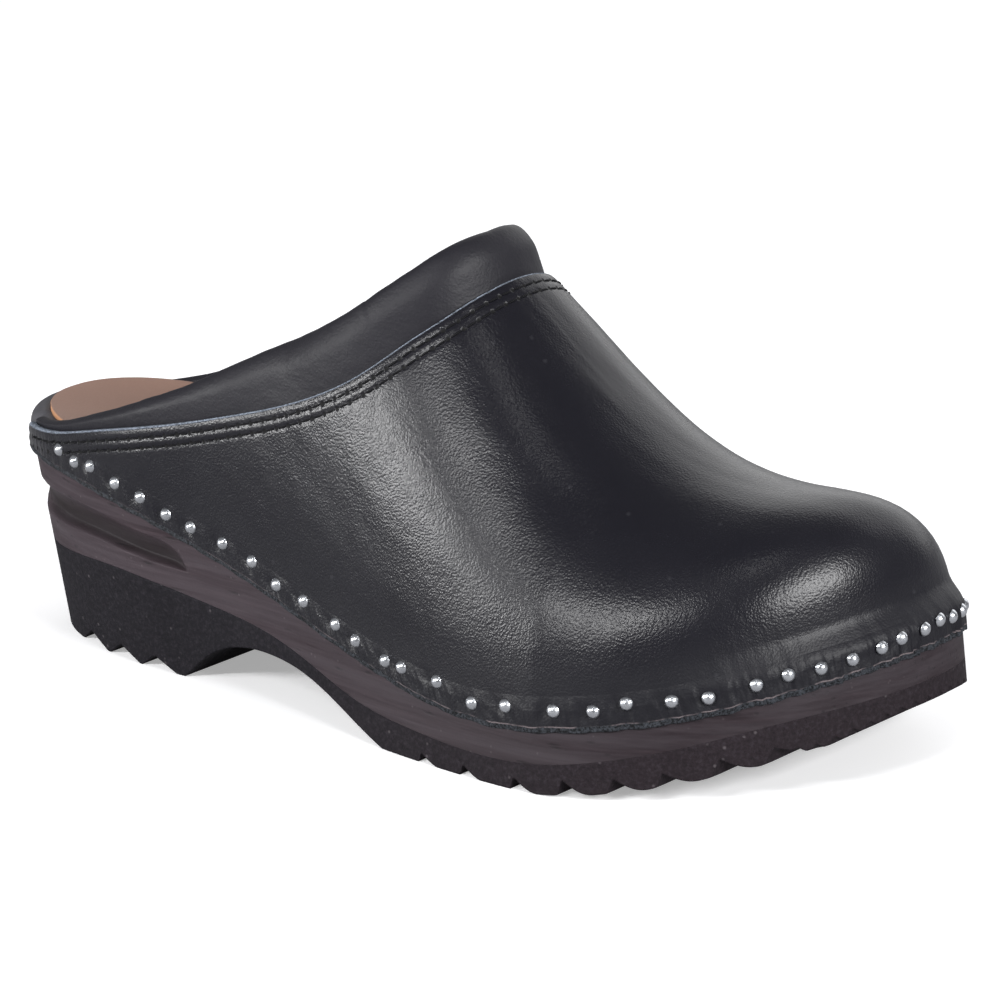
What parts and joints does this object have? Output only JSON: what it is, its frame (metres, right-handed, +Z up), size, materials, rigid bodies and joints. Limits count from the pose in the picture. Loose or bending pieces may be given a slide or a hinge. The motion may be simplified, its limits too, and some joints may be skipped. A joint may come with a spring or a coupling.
{
  "type": "clog",
  "caption": "Closed-toe mule clog: leather upper nailed round a raised wooden sole, padded collar, treaded rubber outsole.",
  "frame": {"origin": "centre of the bounding box's bottom, on the floor under the clog", "axes": "+X towards the toe, +Y towards the inner side of a right foot, +Z up"},
  "size_m": [0.2641, 0.1048, 0.1182],
  "materials": {
    "stained_wood": "dark stained, satin",
    "outsole_rubber": "matt, fine pored",
    "insole_leather": "natural tan, matt",
    "upper_leather": "black oiled, semi-gloss",
    "collar_leather": "black, semi-gloss",
    "padding": "open-cell foam",
    "thread": "waxed black thread",
    "nail_steel": "bright"
  },
  "bodies": {
    "root": {"wooden_sole": "stained_wood", "outsole": "outsole_rubber", "sock_lining": "insole_leather", "vamp": "upper_leather", "collar_cover": "collar_leather", "collar_foam": "padding", "stitch_row_upper": "thread", "stitch_row_lower": "thread", "nails": "nail_steel"}
  },
  "joints": []
}
